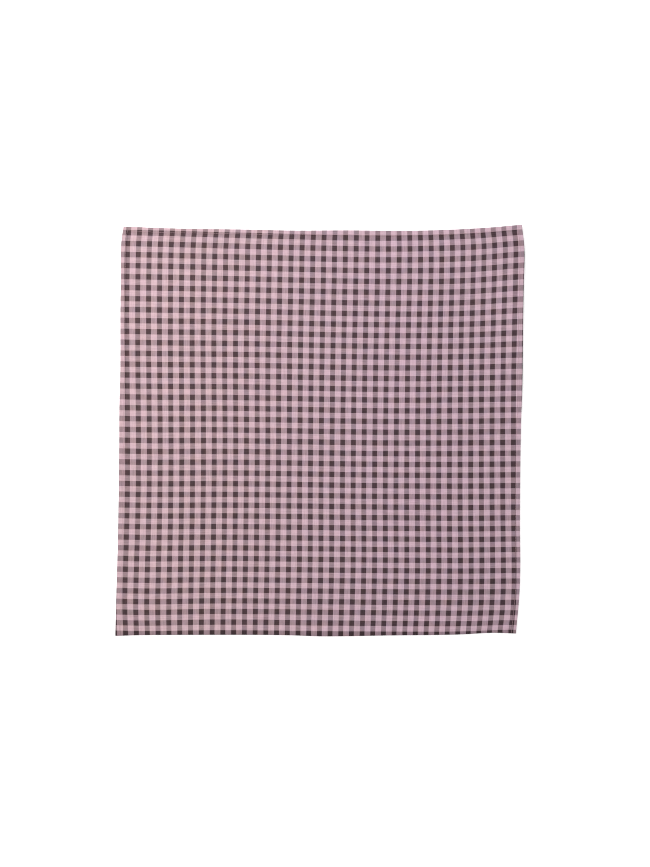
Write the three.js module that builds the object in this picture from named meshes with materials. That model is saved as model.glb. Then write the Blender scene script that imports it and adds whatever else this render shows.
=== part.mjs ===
// A light checked cotton scarf, hemmed along every edge and folded once, lying flat.
// Its lower half rests on the surface. The cloth turns over along the near side, and its upper
// half lies back over the lower one, so the outline is one rounded fold and three hems.
// Millimetres, +Z up. The origin is the middle of the underside, and the fold is on the -Y side.

import * as THREE from 'three';

// Driving sizes
const WIDTH = 654.4; // left hem to right hem, before the edges wander
const DEPTH = 660.6; // fold to the upper half's free hem, before the edges wander
const LAYER = 1.1; // thickness of the cloth
const GAP = 0.6; // air between the two halves
const HEM = { width: 7, extra: 0.4, slope: 4, round: 0.3 }; // edges turned under twice and sewn
const FOLD = { reach: 4.4, rise: 1.3, settle: 30 }; // how far the turn bulges and how it settles
const INSET = { left: 1.5, right: 2.5, far: 3, start: 90 }; // lower half's hems, inside the upper's

// How fine the surface is
const STEPS_ACROSS = 18;
const STEPS_ALONG = 16;
const STEPS_ROUND_FOLD = 8;

// How far each side wanders outwards, by the place along it from one end, -1, to the other, 1
const LEFT_SIDE = [
  { at: -1, out: 6.6 },
  { at: -0.8, out: 5 },
  { at: -0.5, out: 2.2 },
  { at: -0.1, out: 0.4 },
  { at: 0.12, out: 0 },
  { at: 0.3, out: -1.5 },
  { at: 0.6, out: -1.6 },
  { at: 0.78, out: -2.4 },
  { at: 0.92, out: -2.9 },
  { at: 1, out: -6.6 },
];
const RIGHT_SIDE = [
  { at: -1, out: -8.8 },
  { at: -0.84, out: -3.8 },
  { at: -0.68, out: -1.8 },
  { at: -0.5, out: -2.4 },
  { at: -0.2, out: -1.8 },
  { at: 0.02, out: -0.7 },
  { at: 0.2, out: 1.4 },
  { at: 0.5, out: 2.5 },
  { at: 0.7, out: 3.6 },
  { at: 0.87, out: 4.8 },
  { at: 1, out: 0.6 },
];
const FOLD_SIDE = [
  { at: -1, out: 3.4 },
  { at: -0.85, out: 2.1 },
  { at: -0.3, out: 1.7 },
  { at: -0.12, out: 2.5 },
  { at: 0.04, out: 4.2 },
  { at: 0.38, out: 2.6 },
  { at: 0.7, out: 1.3 },
  { at: 0.88, out: -1.5 },
  { at: 1, out: -0.4 },
];
const FAR_SIDE = [
  { at: -1, out: 2.6 },
  { at: -0.75, out: -0.5 },
  { at: -0.36, out: -2.5 },
  { at: -0.15, out: -4 },
  { at: 0.12, out: -3.7 },
  { at: 0.42, out: -4.4 },
  { at: 0.65, out: -2.6 },
  { at: 0.85, out: 1 },
  { at: 1, out: 5.4 },
];

// Low swells where the upper half stands off the lower one
const SWELLS = [
  { name: 'rolled right hem', x: 318, y: 170, across: 22, along: 110, height: 2.2 },
  { name: 'lifted right corner', x: 285, y: 300, across: 70, along: 45, height: 1.5 },
  { name: 'left hem', x: -322, y: 40, across: 28, along: 170, height: 1 },
  { name: 'air behind the fold', x: -30, y: -285, across: 220, along: 34, height: 0.9 },
  { name: 'left of the middle', x: -120, y: 90, across: 110, along: 150, height: 0.9 },
  { name: 'right of the middle', x: 130, y: -110, across: 100, along: 130, height: 1 },
];

const lerp = THREE.MathUtils.lerp;
const smooth = (value) => THREE.MathUtils.smoothstep(value, 0, 1);

// A smooth curve through the rows of a side's table
function wander(side, at) {
  const last = side.length - 1;
  let row = 0;
  while (row < last - 1 && at > side[row + 1].at) row += 1;
  const slope = (index) => {
    const before = side[Math.max(index - 1, 0)];
    const after = side[Math.min(index + 1, last)];
    return (after.out - before.out) / (after.at - before.at);
  };
  const from = side[row];
  const to = side[row + 1];
  const span = to.at - from.at;
  const t = (at - from.at) / span;
  const ease = smooth(t);
  const leaving = slope(row) * span * t * (1 - t) ** 2;
  const arriving = slope(row + 1) * span * t * t * (1 - t);
  return lerp(from.out, to.out, ease) + leaving - arriving;
}

// Where a point of a half lies on the surface. a runs from the left hem, -1, to the right one, 1,
// and b from the start of the fold, -1, to the free hem, 1.
function place(a, b, isLower) {
  const fade = isLower ? smooth(((b + 1) * DEPTH) / 2 / INSET.start) : 0;
  const left = -WIDTH / 2 - wander(LEFT_SIDE, b) + INSET.left * fade;
  const right = WIDTH / 2 + wander(RIGHT_SIDE, b) - INSET.right * fade;
  const near = -DEPTH / 2 - wander(FOLD_SIDE, a) + FOLD.reach;
  const far = DEPTH / 2 + wander(FAR_SIDE, a) - INSET.far * fade;
  return new THREE.Vector2(lerp(left, right, (a + 1) / 2), lerp(near, far, (b + 1) / 2));
}

// How far the upper half stands off the lower one, beyond the gap
function lift(a, b) {
  const at = place(a, b, false);
  const fromFold = ((b + 1) * DEPTH) / 2;
  let height = FOLD.rise * (1 - smooth(fromFold / FOLD.settle));
  for (const swell of SWELLS) {
    const dx = (at.x - swell.x) / swell.across;
    const dy = (at.y - swell.y) / swell.along;
    height += swell.height * Math.exp(-(dx * dx + dy * dy) / 2);
  }
  return height;
}

// How much thicker the cloth is than one layer: full in a hem, none past its slope
function hemExtra(a, b) {
  const inward = Math.min(((1 - Math.abs(a)) * WIDTH) / 2, ((1 - b) * DEPTH) / 2);
  return HEM.extra * (1 - smooth((inward - HEM.width) / HEM.slope));
}

// The cloth's two faces at one point: outer is the side that shows, inner the one folded inside
function faces(a, row) {
  const at = place(a, row.b, row.part === 'lower');
  const hem = hemExtra(a, row.b);
  const lowerTop = LAYER + hem;
  const upperUnder = lowerTop + GAP + lift(a, row.b);
  const top = upperUnder + LAYER + hem;
  const round = Math.abs(a) === 1 || row.b === 1 ? HEM.round : 0;
  if (row.part === 'lower') {
    return {
      outer: new THREE.Vector3(at.x, at.y, round),
      inner: new THREE.Vector3(at.x, at.y, lowerTop - round),
    };
  }
  if (row.part === 'upper') {
    return {
      outer: new THREE.Vector3(at.x, at.y, top - round),
      inner: new THREE.Vector3(at.x, at.y, upperUnder + round),
    };
  }
  const out = Math.sin(Math.PI * row.turn);
  const up = (1 - Math.cos(Math.PI * row.turn)) / 2;
  const outerReach = (FOLD.reach - round) * out;
  const innerReach = (FOLD.reach - lowerTop + round) * out;
  return {
    outer: new THREE.Vector3(at.x, at.y - outerReach, lerp(round, top - round, up)),
    inner: new THREE.Vector3(at.x, at.y - innerReach, lerp(lowerTop - round, upperUnder + round, up)),
  };
}

// Places from the outer edge inwards where a hem's round, width and slope need a step of their own
const HEM_STEPS = [0, HEM.round * 2, HEM.width, HEM.width + HEM.slope];

function stationsAcross() {
  const hem = HEM_STEPS.map((inward) => (2 * inward) / WIDTH - 1);
  const innermost = hem.pop();
  const even = [];
  for (let step = 0; step <= STEPS_ACROSS; step += 1) {
    even.push(lerp(innermost, -innermost, step / STEPS_ACROSS));
  }
  return [...hem, ...even, ...hem.map((a) => -a).reverse()];
}

function stationsAlong() {
  const hem = HEM_STEPS.map((inward) => 1 - (2 * inward) / DEPTH);
  const innermost = hem.pop();
  const settled = (2 * FOLD.settle) / DEPTH - 1;
  const even = [];
  for (let step = 0; step <= STEPS_ALONG; step += 1) {
    even.push(lerp(settled, innermost, step / STEPS_ALONG));
  }
  return [-1, lerp(-1, settled, 0.25), lerp(-1, settled, 0.6), ...even, ...hem.reverse()];
}

// Every row of the cloth, from the lower half's free hem, round the fold, to the upper half's
function clothRows() {
  const along = stationsAlong();
  const lower = along.toReversed().map((b) => ({ part: 'lower', b }));
  const upper = along.map((b) => ({ part: 'upper', b }));
  const fold = [];
  for (let step = 1; step < STEPS_ROUND_FOLD; step += 1) {
    fold.push({ part: 'fold', b: -1, turn: step / STEPS_ROUND_FOLD });
  }
  return [...lower, ...fold, ...upper];
}

// The points round the cloth's edge as [column, row] pairs, in the order that keeps it on the left
function edgeLoop(columns, rows) {
  const loop = [];
  for (let i = 0; i < columns; i += 1) loop.push([i, 0]);
  for (let j = 0; j < rows; j += 1) loop.push([columns, j]);
  for (let i = columns; i > 0; i -= 1) loop.push([i, rows]);
  for (let j = rows; j > 0; j -= 1) loop.push([0, j]);
  return loop;
}

function clothGeometry() {
  const across = stationsAcross();
  const rows = clothRows();
  const points = [];
  for (const row of rows) {
    for (const a of across) {
      const { outer, inner } = faces(a, row);
      points.push(outer, inner);
    }
  }
  const outer = (i, j) => 2 * (j * across.length + i);
  const inner = (i, j) => outer(i, j) + 1;
  const triangles = [];
  const quad = (p, q, r, s) => triangles.push(p, q, r, p, r, s);
  for (let j = 0; j < rows.length - 1; j += 1) {
    for (let i = 0; i < across.length - 1; i += 1) {
      quad(outer(i, j), outer(i + 1, j), outer(i + 1, j + 1), outer(i, j + 1));
      quad(inner(i, j), inner(i, j + 1), inner(i + 1, j + 1), inner(i + 1, j));
    }
  }
  const loop = edgeLoop(across.length - 1, rows.length - 1);
  loop.forEach(([i, j], index) => {
    const [nextI, nextJ] = loop[(index + 1) % loop.length];
    quad(outer(nextI, nextJ), outer(i, j), inner(i, j), inner(nextI, nextJ));
  });
  const geometry = new THREE.BufferGeometry().setFromPoints(points);
  geometry.setIndex(triangles);
  return geometry;
}

// The outline's middle goes to the origin, and the underside stays at z = 0
function centred(geometry) {
  geometry.computeBoundingBox();
  const middle = geometry.boundingBox.getCenter(new THREE.Vector3());
  geometry.translate(-middle.x, -middle.y, 0);
  geometry.computeVertexNormals();
  return geometry;
}

const checkedCotton = new THREE.MeshStandardMaterial({
  name: 'checked_cotton',
  color: 0xa98d95,
  roughness: 0.9,
  metalness: 0,
});

const scarf = new THREE.Mesh(centred(clothGeometry()), checkedCotton);
scarf.name = 'scarf';

const group = new THREE.Group();
group.add(scarf);

export default group;
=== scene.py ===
"""A light checked cotton scarf, hemmed along every edge and folded once, lying flat.

All sizes are in metres. The outline and the folds are those of the solid model. Here the cloth
is a thin sheet, with turned and sewn hems, yarn-dyed checks and its weave.
"""

import math

import bpy
import numpy as np
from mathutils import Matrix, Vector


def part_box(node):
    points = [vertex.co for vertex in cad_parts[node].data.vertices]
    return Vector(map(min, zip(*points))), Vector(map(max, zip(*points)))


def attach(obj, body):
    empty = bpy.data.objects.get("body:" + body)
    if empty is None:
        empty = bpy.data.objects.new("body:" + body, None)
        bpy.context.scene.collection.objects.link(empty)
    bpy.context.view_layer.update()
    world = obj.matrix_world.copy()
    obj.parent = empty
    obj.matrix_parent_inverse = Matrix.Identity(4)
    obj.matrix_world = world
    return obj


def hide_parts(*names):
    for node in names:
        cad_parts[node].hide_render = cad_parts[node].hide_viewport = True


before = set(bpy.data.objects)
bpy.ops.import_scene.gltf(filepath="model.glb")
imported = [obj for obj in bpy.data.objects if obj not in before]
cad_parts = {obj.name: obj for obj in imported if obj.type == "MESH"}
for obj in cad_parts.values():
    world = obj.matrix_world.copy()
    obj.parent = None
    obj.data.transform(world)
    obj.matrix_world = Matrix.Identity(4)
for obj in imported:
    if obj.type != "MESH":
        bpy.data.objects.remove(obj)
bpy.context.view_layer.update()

# Driving sizes
MM = 0.001
WIDTH = 0.6544  # left hem to right hem, before the edges wander
DEPTH = 0.6606  # fold to the upper half's free hem, before the edges wander
REPEAT = 0.0175  # one dark and one light stripe
YARNS_PER_REPEAT = 25
DARK_YARNS_ACROSS = 11.45  # in a dark column
DARK_YARNS_ALONG = 12.5  # in a dark row
YARN = REPEAT / YARNS_PER_REPEAT

# The cloth and its hems
CLOTH = 0.45 * MM
HEM_THICKNESS = 1.15 * MM
HEM_SLOPE = 2.0 * MM  # from the turned edge of the hem to a single layer
HEM_RISE_RUN = 26 * MM  # run inward over which the upper half comes down from the hems
SEAM_INWARD = 7.2 * MM  # from the rim of the hem to its sewn line
SEAM_STRAY = 0.7 * MM  # how far the sewn line strays to either side
SEAM_WAVE = 150 * MM  # about the length of one stray to and fro
SEAM_TO_FOLD = 0.9 * MM  # from the sewn line to the turned edge of the hem
GROOVE_DEPTH = 0.2 * MM
GROOVE_WIDTH = 0.55 * MM
PUCKER_HEIGHT = 0.14 * MM
PUCKER_WAVE = 19 * MM
PUCKER_REACH = 14 * MM  # inward from the rim of the hem

# The two halves and the fold
GAP_AT_HEM = 0.5 * MM  # between the two halves
GAP_INSIDE = 1.1 * MM
FOLD_REACH = 4.2 * MM  # how far the turn bulges
FOLD_RISE = 1.1 * MM  # how much further the halves are apart at the fold
FOLD_SETTLE = 30 * MM  # run from the fold over which that rise ends
FOLD_TIGHTNESS = 3.2  # how much of the turn comes close to its outermost line
INSET_LEFT = 1.5 * MM  # lower half's hems, inside the upper half's
INSET_RIGHT = 2.5 * MM
INSET_FAR = 3.0 * MM
INSET_START = 90 * MM  # run from the fold over which the insets come in

# How strongly the hidden layers and painted shade darken the face's checks, where the side hems are
# 1. In the hems this is partly the layers behind and partly painted shade of the edges. At the fold
# it is painted shade where the turn bends away from the light.
END_HEM_DARKENS = 0.2
# painted shade at the fold, where the turned cloth bends away from the light
FOLD_PAINTED_SHADE = 1.1
FOLD_SHADE_REACH = 6 * MM  # full as far as this from the fold, and gone at twice this

# Sewing
STITCH_PITCH = 2.6 * MM
STITCH_LENGTH = 2.5 * MM
STITCH_SINK = 0.16 * MM  # of its ends into the cloth
STITCH_SINKS_FROM = 0.55  # share of half a stitch
STITCH_LEAN = 0.05
STITCH_LEAN_TURN = 2.4  # radians of a wave from one stitch's lean to the next one's
THREAD_RADIUS = 0.18 * MM
THREAD_LIFT = 0.5 * THREAD_RADIUS
THREAD_FLATNESS = 0.8
THREAD_NARROWING = 0.3  # share of the radius lost towards a stitch's ends
THREAD_NARROWS_FROM = 0.6  # share of half a stitch

# How fine the meshes are. Steps from a hem, its seam and the fold are in millimetres.
STEPS_ACROSS = 140
STEPS_UPPER = 138
STEPS_LOWER = 76
THREAD_SIDES = 6
STITCH_RINGS = (-1, -0.82, -0.4, 0.4, 0.82, 1)  # shares of half a stitch
RIM_DEGREES = (0, 25, 50, 75)
STEPS_IN_HEM = (0.8, 2.2, 4.2, 5.4)
STEPS_FROM_SEAM = (-1, -0.6, -0.2, 0.2, 0.6, 1, 1.5, 2, 2.5, 3)
LAST_HEM_STEP = 12
TURN_SHARES = (0, 0.04, 0.08, 0.13, 0.19, 0.26, 0.35, 0.47, 0.62, 0.8, 1)
STEPS_FROM_FOLD = (7, 10, 14, 19, 24, 30)

# Small steps by which a face's slopes are measured: a share of half the width, and metres
SLOPE_STEP_ACROSS = 0.0004
SLOPE_STEP_ALONG = 0.0002

# The photograph's frame in pixels, and where the cloth's middle lies in it
PHOTO_WIDTH = 650
PHOTO_HEIGHT = 867
CLOTH_MIDDLE = (319.92, 430.57)
PIXELS_PER_REPEAT = 10.75

# The studio
CAMERA_HEIGHT = 2.6  # above the upper half's face
SENSOR_MM = 36
KEY_PLACE = (-1.12, 0.8, 1.47)
KEY_SIZE = 1.3
KEY_WATTS = 31
SKY_AT_HORIZON = 0.97
SKY_ABOVE = 0.59
SKY_EVEN_FROM = 0.35  # height of a direction, from 0 to 1, from which the sky is even
FLOOR_REACH = 200.0
FLOOR_DROP = 0.2 * MM  # below the cloth's underside
FLOOR_GLOW = 0.45
PIXEL_FILTER = 1.05

# How far each side wanders outwards, in millimetres: (place along it from -1 to 1, distance)
LEFT_SIDE = [
    (-1, 6.6), (-0.8, 5), (-0.5, 2.2), (-0.1, 0.4), (0.12, 0), (0.3, -1.5),
    (0.6, -1.6), (0.78, -2.4), (0.92, -2.9), (1, -6.6),
]
RIGHT_SIDE = [
    (-1, -8.8), (-0.84, -3.8), (-0.68, -1.8), (-0.5, -2.4), (-0.2, -1.8), (0.02, -0.7),
    (0.2, 1.4), (0.5, 2.5), (0.7, 3.6), (0.87, 4.8), (1, 0.6),
]
FOLD_SIDE = [
    (-1, 3.4), (-0.85, 2.1), (-0.3, 1.7), (-0.12, 2.5), (0.04, 4.2), (0.38, 2.6),
    (0.7, 1.3), (0.88, -1.5), (1, -0.4),
]
FAR_SIDE = [
    (-1, 2.6), (-0.75, -0.5), (-0.36, -2.5), (-0.15, -4), (0.12, -3.7), (0.42, -4.4),
    (0.65, -2.6), (0.85, 1), (1, 5.4),
]

# Low swells where the upper half stands off the lower one, in millimetres:
# (x, y, reach across, reach along, height)
SWELLS = [
    (318, 170, 22, 110, 2.2),  # rolled right hem
    (285, 300, 70, 45, 1.5),  # lifted right corner
    (-322, 40, 28, 170, 1.0),  # left hem
    (-30, -285, 220, 34, 0.9),  # air behind the fold
    (-120, 90, 110, 150, 0.9),  # left of the middle
    (130, -110, 100, 130, 1.0),  # right of the middle
]
SWELL_HEIGHT = 4  # the column of a swell's height

PULLS = [
    (-320, 230, 90, 130, 3.0, -1.6),  # upper left
    (-330, 360, 170, 80, 0, -3.6),  # upper left corner
    (70, 290, 130, 110, -2.0, 0),  # upper middle
    (350, 350, 60, 130, 0, -11.0),  # upper right corner
    (180, 260, 60, 50, -0.8, 0),  # upper right
    (340, 70, 110, 150, 2.6, -1.8),  # right side
    (130, 100, 150, 230, 0, 2.6),  # right of the middle
    (-170, -70, 110, 110, -1.4, 0),  # left of the middle
    (-280, -90, 60, 160, 0, 1.8),  # left side
    (-330, -270, 60, 70, 2.6, 0),  # lower left
    (330, -250, 100, 60, -1.2, -2.0),  # lower right
    (340, -360, 110, 50, 1.8, 0),  # lower right corner
    (60, -210, 130, 50, -1.1, 0),  # lower middle
    (-40, -360, 330, 90, 0, -2.7),  # along the fold
    (-180, 332, 150, 14, -2.2, 0),  # hem at the upper left
    (330, 332, 110, 14, 3.2, 0),  # hem at the upper right
    (215, 335, 55, 45, 0, -2.3),  # below the upper right hem
    (-120, 150, 75, 80, 0.7, -0.6),  # above the middle, left
    (160, -345, 110, 28, 1.5, 0),  # along the fold, right
    (300, -345, 60, 28, 3.2, 0),  # lower right corner, columns
    (320, -345, 50, 25, 0, -6.0),  # lower right corner, rows
    (240, -180, 45, 90, 0, 0.9),  # right of the lower middle
    (-290, -310, 60, 60, 0, 1.9),  # lower left corner, rows
    (333, 140, 3.2, 100, 2.4, 0),  # rolled rim of the right hem
    (-310, -338, 50, 22, -1.2, 0),  # lower left corner, columns
    (-320, 275, 3, 50, 0.6, 0),  # drawn towards the seam at the upper left
    (-20, -335, 90, 20, 0, 0.5),  # at the fold, middle
    (210, -335, 60, 20, 0, -0.4),  # at the fold, right
]
COLUMN_PULL = 4  # the columns of the two pulls
ROW_PULL = 5
CHECK_TURN = 0.008  # radians that the whole pattern is turned by
CHECK_START = (-1.25 * MM, -0.9 * MM)  # place of the middle dark square's centre in the pattern

# The waves that make up an uneven one: (share of its length, share of its seed, height)
RIPPLES = ((1, 1, 1), (0.61, 2.3, 0.7), (1.73, 4.1, 0.8))


# The cloth's shape

def smooth(value):
    """0 below 0, 1 above 1, and an even ease between."""
    t = np.clip(value, 0, 1)
    return t * t * (3 - 2 * t)


def wander(side, at):
    """A smooth curve through the rows of a side's table, in metres."""
    places, outs = np.array(side, float).T
    slopes = np.empty_like(outs)
    slopes[1:-1] = (outs[2:] - outs[:-2]) / (places[2:] - places[:-2])
    slopes[0] = (outs[1] - outs[0]) / (places[1] - places[0])
    slopes[-1] = (outs[-1] - outs[-2]) / (places[-1] - places[-2])
    row = np.clip(np.searchsorted(places, at, side="right") - 1, 0, len(places) - 2)
    span = places[row + 1] - places[row]
    t = (at - places[row]) / span
    leaving = slopes[row] * span * t * (1 - t) ** 2
    arriving = slopes[row + 1] * span * t * t * (1 - t)
    return (outs[row] + (outs[row + 1] - outs[row]) * smooth(t) + leaving - arriving) * MM


def humps(table, x, y, column):
    """The sum of a table's rounded humps at x, y, with their heights in one of its columns."""
    total = np.zeros_like(x)
    for row in table:
        across = (x - row[0] * MM) / (row[2] * MM)
        along = (y - row[1] * MM) / (row[3] * MM)
        total += row[column] * MM * np.exp(-(across**2 + along**2) / 2)
    return total


def ripple(length, seed, wave):
    """A small uneven wave along an edge, between -1 and 1."""
    total = 0
    for share, turn, height in RIPPLES:
        total = total + height * np.sin(2 * math.pi * length / (wave * share) + turn * seed)
    return total / sum(height for _, _, height in RIPPLES)


def fold_section():
    """The fold's section from its outermost line, 0, to where it lies flat, 1: the place along
    it, its tilt there, and how far it has come up and back, as shares of its length."""
    steps = np.linspace(0, 1, 201)
    tilt = math.pi / 2 * (1 - steps) ** FOLD_TIGHTNESS

    def run(rate):
        return np.concatenate([[0], np.cumsum((rate[1:] + rate[:-1]) / 2) * steps[1]])

    return steps, tilt, run(np.sin(tilt)), run(np.cos(tilt))


FOLD_STEPS, FOLD_TILT, FOLD_UP, FOLD_BACK = fold_section()
TURN = FOLD_REACH / FOLD_BACK[-1]  # cloth from the fold's outermost line to where it lies flat
HALF_LENGTH = DEPTH - FOLD_REACH + TURN  # cloth from the fold's outermost line to a free hem


def along_half(s):
    """How far along its half a point s metres from the fold is: -1 at the fold, 1 at the hem."""
    return 2 * np.clip((np.abs(s) - TURN) / (DEPTH - FOLD_REACH), 0, 1) - 1


def place(a, b, inset=0.0):
    """Where a point of a half lies on the surface, for a across and b along it."""
    left = -WIDTH / 2 - wander(LEFT_SIDE, b) + INSET_LEFT * inset
    right = WIDTH / 2 + wander(RIGHT_SIDE, b) - INSET_RIGHT * inset
    near = -DEPTH / 2 - wander(FOLD_SIDE, a) + FOLD_REACH
    far = DEPTH / 2 + wander(FAR_SIDE, a) - INSET_FAR * inset
    x = left + (right - left) * (a + 1) / 2
    y = near + (far - near) * (b + 1) / 2
    return x, y


def from_side(a):
    """Distance to the nearer side hem's rim."""
    return (1 - np.abs(a)) * WIDTH / 2


def from_end(b):
    """Distance to the half's free hem's rim."""
    return (1 - b) * DEPTH / 2


def from_hem(a, b):
    """Distance to the nearest hem's rim."""
    return np.minimum(from_side(a), from_end(b))


def along_edge(a, s):
    """The distance along the nearest hemmed edge, and a number that tells the edges apart."""
    beside = from_side(a) < from_end(along_half(s))
    return np.where(beside, s, a * WIDTH / 2), np.where(beside, np.sign(a), 2.7 + np.sign(s))


def seam_inward(a, s):
    """Distance from a hemmed edge to its sewn line."""
    length, seed = along_edge(a, s)
    own_seed = 1.3 * seed + 0.8  # so that the line strays on its own, apart from the puckers
    return SEAM_INWARD + SEAM_STRAY * ripple(length, own_seed, SEAM_WAVE)


def hem_thickness(inward, seam):
    """The cloth's thickness: three layers in a hem, one past its inner edge, round at the rim."""
    inside = smooth((inward - seam - SEAM_TO_FOLD) / HEM_SLOPE)
    full = HEM_THICKNESS + (CLOTH - HEM_THICKNESS) * inside
    radius = HEM_THICKNESS / 2
    into_rim = np.clip(1 - inward / radius, 0, 1)
    return full * np.sqrt(1 - into_rim**2)


def groove(inward, seam):
    """The furrow that the stitches pull into a hem."""
    return GROOVE_DEPTH * np.exp(-(((inward - seam) / GROOVE_WIDTH) ** 2) / 2)


def puckers(a, s, inward):
    """The small uneven swells that sewing leaves along a hem."""
    length, seed = along_edge(a, s)
    fade = np.exp(-((inward / PUCKER_REACH) ** 2))
    return PUCKER_HEIGHT * ripple(length, seed, PUCKER_WAVE) * fade


def upper_rise(a, b):
    """How much further apart the halves are than in their hems."""
    x, y = place(a, b)
    settled = smooth(from_hem(a, b) / HEM_RISE_RUN)
    past_fold = (b + 1) * DEPTH / 2
    fold = FOLD_RISE * (1 - smooth(past_fold / FOLD_SETTLE))
    return (GAP_INSIDE - GAP_AT_HEM) * settled + fold + humps(SWELLS, x, y, SWELL_HEIGHT)


def cloth_faces(a, s):
    """The outer and inner face of the cloth as arrays of points. a runs across it, from the left
    hem, -1, to the right, 1, and s along it from the fold, above 0 on the upper half."""
    b = along_half(s)
    inset = np.where(s < 0, smooth((b + 1) * DEPTH / 2 / INSET_START), 0)
    x, y = place(a, b, inset)
    inward = from_hem(a, b)
    seam = seam_inward(a, s)
    full = hem_thickness(np.maximum(inward, HEM_THICKNESS), seam)
    thick = hem_thickness(inward, seam)
    below_gap = CLOTH + (HEM_THICKNESS - CLOTH) * (1 - smooth(inward / HEM_RISE_RUN))
    low = full / 2
    high = below_gap + GAP_AT_HEM + upper_rise(a, b) + full / 2
    round_fold = np.clip(np.abs(s) / TURN, 0, 1)
    tilt = np.interp(round_fold, FOLD_STEPS, FOLD_TILT)
    up = np.interp(round_fold, FOLD_STEPS, FOLD_UP) / FOLD_UP[-1]
    back = np.interp(round_fold, FOLD_STEPS, FOLD_BACK) / FOLD_BACK[-1]
    side = np.where(s < 0, -1, 1)
    ripples = puckers(a, s, inward) * smooth(inward / HEM_THICKNESS)
    middle_y = y - (FOLD_REACH - full / 2) * (1 - back) + ripples * np.sin(tilt)
    middle_z = low + (high - low) * (1 + side * up) / 2 - ripples * side * np.cos(tilt)
    to_outer = thick / 2 - groove(inward, seam)
    outer_y = middle_y - to_outer * np.sin(tilt)
    outer_z = middle_z + to_outer * side * np.cos(tilt)
    inner_y = middle_y + thick / 2 * np.sin(tilt)
    inner_z = middle_z - thick / 2 * side * np.cos(tilt)
    outer = np.stack([x, outer_y, np.maximum(outer_z, 0)], -1)
    inner = np.stack([x, inner_y, inner_z], -1)
    return outer, inner


def layers_and_painted_shade(a, s):
    """How much the cloth's other layers and painted shade darken its checks: partly the layers in
    the hems, most in the side hems, and painted shade along the fold.
    """
    inner_edge = seam_inward(a, s) + SEAM_TO_FOLD
    sides = 1 - smooth((from_side(a) - inner_edge) / HEM_SLOPE)
    ends = END_HEM_DARKENS * (1 - smooth((from_end(along_half(s)) - inner_edge) / HEM_SLOPE))
    fold = FOLD_PAINTED_SHADE * (1 - smooth((np.abs(s) - FOLD_SHADE_REACH) / FOLD_SHADE_REACH))
    return np.maximum(np.maximum(sides, ends), fold)


def check_place(x, y):
    """The place in the flat pattern that shows at x, y."""
    across = x - CHECK_TURN * y + CHECK_START[0] + humps(PULLS, x, y, COLUMN_PULL)
    along = y + CHECK_TURN * x + CHECK_START[1] + humps(PULLS, x, y, ROW_PULL)
    return across, along


def check_places(a, s):
    """The cloth's own coordinates, which the stripes follow: metres across and along it."""
    across, along = check_place(*place(a, along_half(np.maximum(np.abs(s), TURN))))
    start = check_place(*place(a, along_half(np.full_like(s, TURN))))[1] - TURN
    past_fold = np.where(s > 0, along, 2 * start - along)
    return np.stack([across, np.where(np.abs(s) < TURN, start + s, past_fold)], -1)


# The meshes

def link(name, mesh, material):
    """A new object that rides on the scarf's body."""
    piece = bpy.data.objects.new(name, mesh)
    bpy.context.scene.collection.objects.link(piece)
    mesh.materials.append(material)
    for polygon in mesh.polygons:
        polygon.use_smooth = True
    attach(piece, "root")
    return piece


def edge_stations():
    """Distances inward from a hemmed edge, fine in its rim and round its sewn line."""
    radius = HEM_THICKNESS / 2
    rim = [radius * (1 - math.cos(math.radians(angle))) for angle in RIM_DEGREES]
    band = [step * MM for step in STEPS_IN_HEM]
    seam = [SEAM_INWARD + step * MM for step in STEPS_FROM_SEAM]
    return [*rim, *band, *seam, LAST_HEM_STEP * MM]


def stations_across():
    """Columns of the sheet, from -1 to 1."""
    hem = [2 * inward / WIDTH - 1 for inward in edge_stations()]
    even = np.linspace(hem[-1], -hem[-1], STEPS_ACROSS + 1)
    return np.array([*hem[:-1], *even, *[-a for a in hem[:-1]][::-1]])


def stations_along():
    """Rows of the sheet in metres from the fold, from the lower half's hem to the upper's."""
    hem = [HALF_LENGTH - inward for inward in edge_stations()]
    turn = TURN * np.array(TURN_SHARES)
    near_fold = np.array(STEPS_FROM_FOLD) * MM

    def half(steps):
        even = np.linspace(near_fold[-1], hem[-1], steps + 1)[1:]
        return np.array([*near_fold, *even, *hem[:-1][::-1]])

    return np.array([*-half(STEPS_LOWER)[::-1], *-turn[:0:-1], *turn, *half(STEPS_UPPER)])


def sheet_faces(index, turned):
    """The quads between the points of one face of the sheet."""
    corners = [index[:-1, :-1], index[:-1, 1:], index[1:, 1:], index[1:, :-1]]
    faces = np.stack([corner.ravel() for corner in corners], -1)
    return faces[:, ::-1] if turned else faces


def scarf_sheet(material):
    """The whole cloth as one thin closed sheet, whose two faces share the points of its edge."""
    a, s = np.meshgrid(stations_across(), stations_along())
    rows, columns = a.shape
    count = rows * columns
    outer_index = np.arange(count).reshape(rows, columns)
    inner_index = outer_index.copy()
    inner_index[1:-1, 1:-1] = count + np.arange((rows - 2) * (columns - 2)).reshape(rows - 2, -1)
    faces = [sheet_faces(outer_index, False), sheet_faces(inner_index, True)]

    def both_faces(outer, inner, size):
        return np.concatenate([outer.reshape(-1, size), inner[1:-1, 1:-1].reshape(-1, size)])

    places = check_places(a, s)
    uv = both_faces(places, places, 2)
    layers = layers_and_painted_shade(a, s)
    layers = both_faces(layers, layers, 1)
    mesh = bpy.data.meshes.new("scarf_cloth")
    mesh.from_pydata(both_faces(*cloth_faces(a, s), 3).tolist(), [], np.concatenate(faces).tolist())
    corner_vertex = np.empty(len(mesh.loops), int)
    mesh.loops.foreach_get("vertex_index", corner_vertex)
    layer = mesh.uv_layers.new(name="cloth")
    layer.data.foreach_set("uv", uv[corner_vertex].astype(np.float32).ravel())
    attribute = mesh.attributes.new("layers_and_painted_shade", "FLOAT", "POINT")
    attribute.data.foreach_set("value", layers.astype(np.float32).ravel())
    mesh.validate()
    return link("scarf_cloth", mesh, material)


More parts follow.
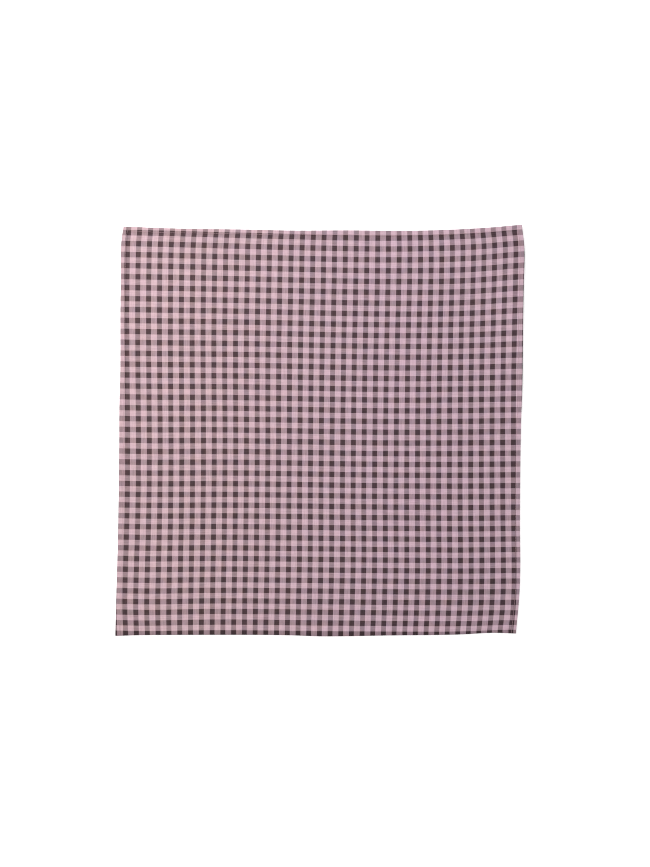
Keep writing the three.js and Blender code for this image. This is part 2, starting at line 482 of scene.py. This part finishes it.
def middle_shift():
    """The small move that puts the outline's middle where the solid's middle is."""
    a = np.linspace(-1, 1, 400)
    ones = np.ones_like(a)
    left, _ = place(-ones, a)
    right, _ = place(ones, a)
    _, near = place(a, -ones)
    _, far = place(a, ones)
    x = (left.min() + right.max()) / 2
    y = (near.min() - FOLD_REACH + far.max()) / 2
    low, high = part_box("scarf")
    return (low.x + high.x) / 2 - x, (low.y + high.y) / 2 - y


# Sewing

def stitch_rings():
    """One stitch lying along +X on +Z: rings of points, with its ends narrower and sunk in."""
    rings = []
    for share in STITCH_RINGS:
        sunk = smooth((abs(share) - STITCH_SINKS_FROM) / (1 - STITCH_SINKS_FROM)) * STITCH_SINK
        narrow = smooth((abs(share) - THREAD_NARROWS_FROM) / (1 - THREAD_NARROWS_FROM))
        radius = THREAD_RADIUS * (1 - THREAD_NARROWING * narrow)
        for side in range(THREAD_SIDES):
            angle = 2 * math.pi * side / THREAD_SIDES
            across = radius * math.cos(angle)
            up = radius * THREAD_FLATNESS * math.sin(angle) - sunk
            rings.append((share * STITCH_LENGTH / 2, across, up))
    return np.array(rings)


def stitch_faces(first):
    """The wall and the two ends of the stitch whose points start at number first."""
    faces = []
    last = first + (len(STITCH_RINGS) - 1) * THREAD_SIDES
    for low in range(first, last, THREAD_SIDES):
        high = low + THREAD_SIDES
        for side in range(THREAD_SIDES):
            beside = (side + 1) % THREAD_SIDES
            faces.append((low + side, low + beside, high + beside, high + side))
    faces.append(tuple(first + side for side in reversed(range(THREAD_SIDES))))
    faces.append(tuple(last + side for side in range(THREAD_SIDES)))
    return faces


def stitch_lines():
    """The sewn lines as pairs of arrays a, s: both side hems round the fold, and both end hems."""
    end = HALF_LENGTH - SEAM_INWARD
    side = 1 - 2 * SEAM_INWARD / WIDTH
    s = np.linspace(-end, end, int(2 * end / STITCH_PITCH))
    a = np.linspace(-side, side, int(side * WIDTH / STITCH_PITCH))
    lines = []
    for sign in (-1, 1):
        seam = seam_inward(np.full_like(s, sign), s)
        lines.append((sign * (1 - 2 * seam / WIDTH), s))
    for sign in (-1, 1):
        seam = seam_inward(a, np.full_like(a, sign * HALF_LENGTH))
        lines.append((a, sign * (HALF_LENGTH - seam)))
    return lines


def unit(vectors):
    """The same directions, each one long."""
    return vectors / np.linalg.norm(vectors, axis=1)[:, None]


def on_face(a, s):
    """Points on the cloth's outer face, and the directions of a line through them: along it,
    beside it and out of the face."""
    points = cloth_faces(a, s)[0]
    across = cloth_faces(a + SLOPE_STEP_ACROSS, s)[0] - points
    along = cloth_faces(a, s + SLOPE_STEP_ALONG)[0] - points
    normal = unit(np.cross(across, along))
    runs = unit(np.gradient(points, axis=0))
    return points, runs, np.cross(normal, runs), normal


def hem_stitches(material):
    """Every stitch that shows, joined into one mesh."""
    forwards, sideways, upwards = np.split(stitch_rings(), 3, axis=1)
    upwards = upwards + THREAD_LIFT
    points, faces = [], []
    for a, s in stitch_lines():
        for number, (on, run, beside, normal) in enumerate(zip(*on_face(a, s))):
            lean = STITCH_LEAN * math.sin(STITCH_LEAN_TURN * number)
            forward = run + lean * beside
            body = on + forwards * forward + sideways * beside + upwards * normal
            body[:, 2] = np.maximum(body[:, 2], 0)
            faces.extend(stitch_faces(len(points)))
            points.extend(body.tolist())
    mesh = bpy.data.meshes.new("hem_stitches")
    mesh.from_pydata(points, [], faces)
    mesh.validate()
    return link("hem_stitches", mesh, material)


# Materials

class Graph:
    """A short way to write the nodes of a material or of the world."""

    def __init__(self, owner):
        owner.use_nodes = True
        self.owner = owner
        self.tree = owner.node_tree
        self.tree.nodes.clear()

    def node(self, kind, inputs=None, **settings):
        """A new node, with its inputs set to values or linked to other nodes' outputs."""
        made = self.tree.nodes.new(kind)
        for key, value in settings.items():
            setattr(made, key, value)
        for key, value in (inputs or {}).items():
            if isinstance(value, bpy.types.NodeSocket):
                self.tree.links.new(value, made.inputs[key])
            else:
                made.inputs[key].default_value = value
        return made

    def math(self, operation, *values):
        return self.node("ShaderNodeMath", dict(enumerate(values)), operation=operation).outputs[0]

    def ramp(self, value, start, end, at_start, at_end, ease="LINEAR"):
        """A number that goes from at_start to at_end while value goes from start to end."""
        ends = {"From Min": start, "From Max": end, "To Min": at_start, "To Max": at_end}
        made = self.node("ShaderNodeMapRange", {"Value": value, **ends}, interpolation_type=ease)
        return made.outputs["Result"]

    def between(self, share, first, second):
        """A number that goes from first to second as share goes from 0 to 1."""
        return self.math("MULTIPLY_ADD", share, second - first, first)

    def around_one(self, value, spread):
        """A factor from 1 - spread / 2 to 1 + spread / 2 as value goes from 0 to 1."""
        return self.math("MULTIPLY_ADD", self.math("SUBTRACT", value, 0.5), spread, 1.0)

    def mix(self, share, first, second):
        inputs = {"Factor": share, "A": first, "B": second}
        return self.node("ShaderNodeMix", inputs, data_type="RGBA").outputs["Result"]

    def scaled(self, colour, by):
        inputs = {0: colour, "Scale": by}
        return self.node("ShaderNodeVectorMath", inputs, operation="SCALE").outputs[0]

    def tinted(self, colour, red, blue):
        factors = self.node("ShaderNodeCombineXYZ", {"X": red, "Y": 1.0, "Z": blue}).outputs[0]
        inputs = {0: colour, 1: factors}
        return self.node("ShaderNodeVectorMath", inputs, operation="MULTIPLY").outputs[0]

    def noise(self, vector, scale, detail=2.0, roughness=0.5):
        inputs = {"Vector": vector, "Scale": scale, "Detail": detail, "Roughness": roughness}
        return self.node("ShaderNodeTexNoise", inputs).outputs["Fac"]

    def bump(self, height, strength, distance):
        inputs = {"Height": height, "Strength": strength, "Distance": distance}
        return self.node("ShaderNodeBump", inputs).outputs["Normal"]

    def surface(self, inputs):
        """The finished material, with one shader that has these inputs."""
        shader = self.node("ShaderNodeBsdfPrincipled", inputs)
        self.node("ShaderNodeOutputMaterial", {"Surface": shader.outputs[0]})
        return self.owner


def rgb(red, green, blue):
    """A colour given as sRGB levels from 0 to 255, as linear values."""
    return tuple(((c / 255 + 0.055) / 1.055) ** 2.4 for c in (red, green, blue)) + (1.0,)


DARK_YARN = rgb(75, 58, 62)
LIGHT_YARN = rgb(205, 174, 184)
WARP_SHOWS = 0.547  # share of the face on which the warp lies over the weft
CROWN_SHOWS = 0.22  # how much that share changes from crossing to crossing
WEAVE_RELIEF = 0.16 * MM
CREPE_RELIEF = 0.9  # fine unevenness in the relief, where a yarn's crown is at most 1
SOFT_EDGE = 0.3  # yarns to either side of a stripe's edge

# How much the tone varies, as a share of it. Pairs are for all light and all dark checks.
YARN_SPREAD = 0.06  # from yarn to yarn
SLUB_SPREADS = (0.85, 1.75)  # along and across a few yarns
SLUB_ACROSS = 2.2 * YARN
SLUB_ALONG = 26 * MM
CLOUD_SPREAD = 0.12
LAYERS_AND_SHADE_LIGHTEN = (-0.04, -0.26)  # below 0, so the hidden layers and painted shade darken the cloth
RED_SPREADS = (0.08, 0.28)
BLUE_SPREADS = (0.1, 0.35)


def stripe(g, way, dark_yarns):
    """1 in a dark stripe and 0 in a light one, with a soft edge."""
    turned = g.math("WRAP", g.math("DIVIDE", way, REPEAT), 0.5, -0.5)
    from_centre = g.math("MULTIPLY", g.math("ABSOLUTE", turned), YARNS_PER_REPEAT)
    return g.ramp(from_centre, dark_yarns / 2 - SOFT_EDGE, dark_yarns / 2 + SOFT_EDGE, 1.0, 0.0)


def yarn_tone(g, way, other, dark, seed):
    """How light each single yarn is, and how that changes along it, dark yarns more."""
    number = g.math("ADD", g.math("FLOOR", g.math("DIVIDE", way, YARN)), seed)
    own = g.node("ShaderNodeTexWhiteNoise", {"W": number}, noise_dimensions="1D")
    by_yarn = g.around_one(own.outputs["Value"], YARN_SPREAD)
    slub_at = g.node("ShaderNodeCombineXYZ", {
        "X": g.math("MULTIPLY", way, 1 / SLUB_ACROSS),
        "Y": g.math("MULTIPLY", other, 1 / SLUB_ALONG),
        "Z": seed,
    })
    slub = g.noise(slub_at.outputs[0], scale=1.0, detail=3.0, roughness=0.6)
    by_slub = g.around_one(slub, g.between(dark, *SLUB_SPREADS))
    return g.math("MULTIPLY", by_yarn, by_slub)


def yarns(g, way, other, dark, seed):
    """The colour of the yarns that lie side by side along one way."""
    tone = yarn_tone(g, way, other, dark, seed)
    return g.scaled(g.mix(dark, LIGHT_YARN, DARK_YARN), tone)


def cloth_tone(g, uv, ways, darkness):
    """How light the cloth is for its place: darker over its hidden layers and with painted shade
    along the hems and the fold. The dark checks are lighter towards the upper left and darker
    towards the lower right as a painted sheen of the key light. The cloth is also a little cloudy."""
    layers = g.node("ShaderNodeAttribute", attribute_name="layers_and_painted_shade").outputs["Fac"]
    # painted shade along the hems and the fold, partly the real hidden layers, darkens the checks
    # here
    layered_and_shaded = g.math("MULTIPLY_ADD", layers, g.between(darkness, *LAYERS_AND_SHADE_LIGHTEN), 1.0)
    towards_corner = g.math("SUBTRACT", ways[0], ways[1])
    # painted sheen: dark checks lighter towards the key light at the upper left, darker towards the
    # lower right
    painted_key_sheen = g.ramp(towards_corner, start=-0.5, end=0.5, at_start=0.15, at_end=-0.12)
    painted_sheen_factor = g.math("MULTIPLY_ADD", painted_key_sheen, g.math("MULTIPLY", darkness, darkness), 1.0)
    cloudy = g.around_one(g.noise(uv, scale=75.0), CLOUD_SPREAD)
    return g.math("MULTIPLY", g.math("MULTIPLY", layered_and_shaded, painted_sheen_factor), cloudy)


def tint_drift(g, ways, darkness, spreads, seed):
    """A slow change of one colour part over the cloth, near 1, stronger in dark checks."""
    at = g.node("ShaderNodeCombineXYZ", {"X": ways[0], "Y": ways[1], "Z": seed})
    drift = g.noise(at.outputs[0], scale=70.0, detail=1.0)
    return g.around_one(drift, g.between(darkness, *spreads))


def checked_cotton():
    """Yarn-dyed plain weave: dark and light yarns both ways, each a little uneven."""
    g = Graph(bpy.data.materials.new("checked_cotton"))
    uv = g.node("ShaderNodeUVMap", uv_map="cloth").outputs["UV"]
    split = g.node("ShaderNodeSeparateXYZ", {"Vector": uv})
    ways = (split.outputs["X"], split.outputs["Y"])
    dark_columns = stripe(g, ways[0], DARK_YARNS_ACROSS)
    dark_rows = stripe(g, ways[1], DARK_YARNS_ALONG)
    darkness = g.math("MULTIPLY", g.math("ADD", dark_columns, dark_rows), 0.5)

    crowns = [g.math("SINE", g.math("MULTIPLY", way, math.pi / YARN)) for way in ways]
    crossing = g.math("MULTIPLY", crowns[0], crowns[1])
    over = g.math("MULTIPLY_ADD", crossing, CROWN_SHOWS, WARP_SHOWS)
    columns = yarns(g, ways[0], ways[1], dark_columns, seed=11.0)
    rows = yarns(g, ways[1], ways[0], dark_rows, seed=47.0)
    toned = g.scaled(g.mix(over, rows, columns), cloth_tone(g, uv, ways, darkness))
    red = tint_drift(g, ways, darkness, RED_SPREADS, seed=11.0)
    blue_drift = tint_drift(g, ways, darkness, BLUE_SPREADS, seed=29.0)
    # painted cool light: the cloth bluer towards the right, as from a cool fill light on that side
    painted_cool_light_right = g.ramp(ways[0], start=-0.2, end=0.1, at_start=0.969, at_end=1.038)
    blue = g.math("MULTIPLY", blue_drift, painted_cool_light_right)

    warp_height = g.math("MULTIPLY", g.math("ABSOLUTE", crowns[0]), over)
    weft_height = g.math("MULTIPLY", g.math("ABSOLUTE", crowns[1]), g.math("SUBTRACT", 1.0, over))
    crepe = g.noise(uv, scale=420.0, detail=3.0)
    weave = g.math("ADD", warp_height, weft_height)
    height = g.math("MULTIPLY_ADD", crepe, CREPE_RELIEF, weave)
    return g.surface({
        "Base Color": g.tinted(toned, red, blue),
        "Roughness": g.between(crepe, 0.8, 0.96),
        "Specular IOR Level": 0.08,
        "Sheen Weight": 0.06,
        "Sheen Roughness": 0.55,
        "Sheen Tint": rgb(236, 214, 220),
        "Normal": g.bump(height, 0.45, WEAVE_RELIEF),
    })


def sewing_thread():
    """Mauve-pink thread with a faint twist."""
    g = Graph(bpy.data.materials.new("sewing_thread"))
    twist = g.noise(g.node("ShaderNodeTexCoord").outputs["Object"], scale=2600.0)
    return g.surface({
        "Base Color": g.mix(twist, rgb(174, 136, 146), rgb(212, 174, 183)),
        "Roughness": 0.6,
        "Specular IOR Level": 0.3,
        "Sheen Weight": 0.15,
        "Normal": g.bump(twist, 0.4, 0.05 * MM),
    })


def pale_floor():
    """A matte near-white studio floor."""
    g = Graph(bpy.data.materials.new("pale_floor"))
    grain = g.noise(g.node("ShaderNodeTexCoord").outputs["Object"], scale=90.0, detail=3.0)
    return g.surface({
        "Base Color": g.mix(grain, (0.95, 0.95, 0.95, 1), (0.98, 0.98, 0.98, 1)),
        "Roughness": 0.95,
        "Specular IOR Level": 0.1,
        "Emission Color": (1, 1, 1, 1),
        "Emission Strength": FLOOR_GLOW,
    })


# The studio

def camera():
    """Straight above the cloth, framed as in the photograph."""
    per_pixel = REPEAT / PIXELS_PER_REPEAT
    data = bpy.data.cameras.new("camera")
    data.sensor_width = SENSOR_MM
    data.lens = SENSOR_MM * CAMERA_HEIGHT / (PHOTO_HEIGHT * per_pixel)
    piece = bpy.data.objects.new("camera", data)
    low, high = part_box("scarf")
    middle = (low + high) / 2
    piece.location = (
        middle.x + (PHOTO_WIDTH / 2 - CLOTH_MIDDLE[0]) * per_pixel,
        middle.y - (PHOTO_HEIGHT / 2 - CLOTH_MIDDLE[1]) * per_pixel,
        2 * CLOTH + GAP_INSIDE + CAMERA_HEIGHT,
    )
    bpy.context.scene.collection.objects.link(piece)
    bpy.context.scene.camera = piece


def key_light():
    """One large soft source at the upper left, aimed at the cloth."""
    data = bpy.data.lights.new("key", "AREA")
    data.shape = "SQUARE"
    data.size = KEY_SIZE
    data.energy = KEY_WATTS
    piece = bpy.data.objects.new("key", data)
    piece.location = KEY_PLACE
    piece.rotation_euler = (-piece.location).to_track_quat("-Z", "Y").to_euler()
    bpy.context.scene.collection.objects.link(piece)


def even_sky():
    """Plain light from above, lighter close to the horizon, where it meets the floor."""
    g = Graph(bpy.data.worlds.new("studio"))
    direction = g.node("ShaderNodeTexCoord").outputs["Generated"]
    upwards = g.node("ShaderNodeSeparateXYZ", {"Vector": direction}).outputs["Z"]
    strength = g.ramp(upwards, 0.0, SKY_EVEN_FROM, SKY_AT_HORIZON, SKY_ABOVE, "SMOOTHSTEP")
    sky = g.node("ShaderNodeBackground", {"Color": (1, 1, 1, 1), "Strength": strength})
    g.node("ShaderNodeOutputWorld", {"Surface": sky.outputs[0]})
    return g.owner


def floor():
    """A wide plain floor just under the cloth."""
    mesh = bpy.data.meshes.new("floor")
    signs = ((-1, -1), (1, -1), (1, 1), (-1, 1))
    corners = [(x * FLOOR_REACH, y * FLOOR_REACH, 0) for x, y in signs]
    mesh.from_pydata(corners, [], [(0, 1, 2, 3)])
    mesh.materials.append(pale_floor())
    piece = bpy.data.objects.new("floor", mesh)
    piece.location.z = -FLOOR_DROP
    bpy.context.scene.collection.objects.link(piece)


def studio():
    """Even light from all round and one soft source, with the photograph's plain tones."""
    scene = bpy.context.scene
    scene.world = even_sky()
    scene.view_settings.view_transform = "Standard"
    scene.cycles.filter_width = PIXEL_FILTER
    key_light()
    floor()


camera()
studio()
cloth = scarf_sheet(checked_cotton())
stitches = hem_stitches(sewing_thread())
shift_x, shift_y = middle_shift()
for piece in (cloth, stitches):
    for vertex in piece.data.vertices:
        vertex.co.x += shift_x
        vertex.co.y += shift_y
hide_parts("scarf")
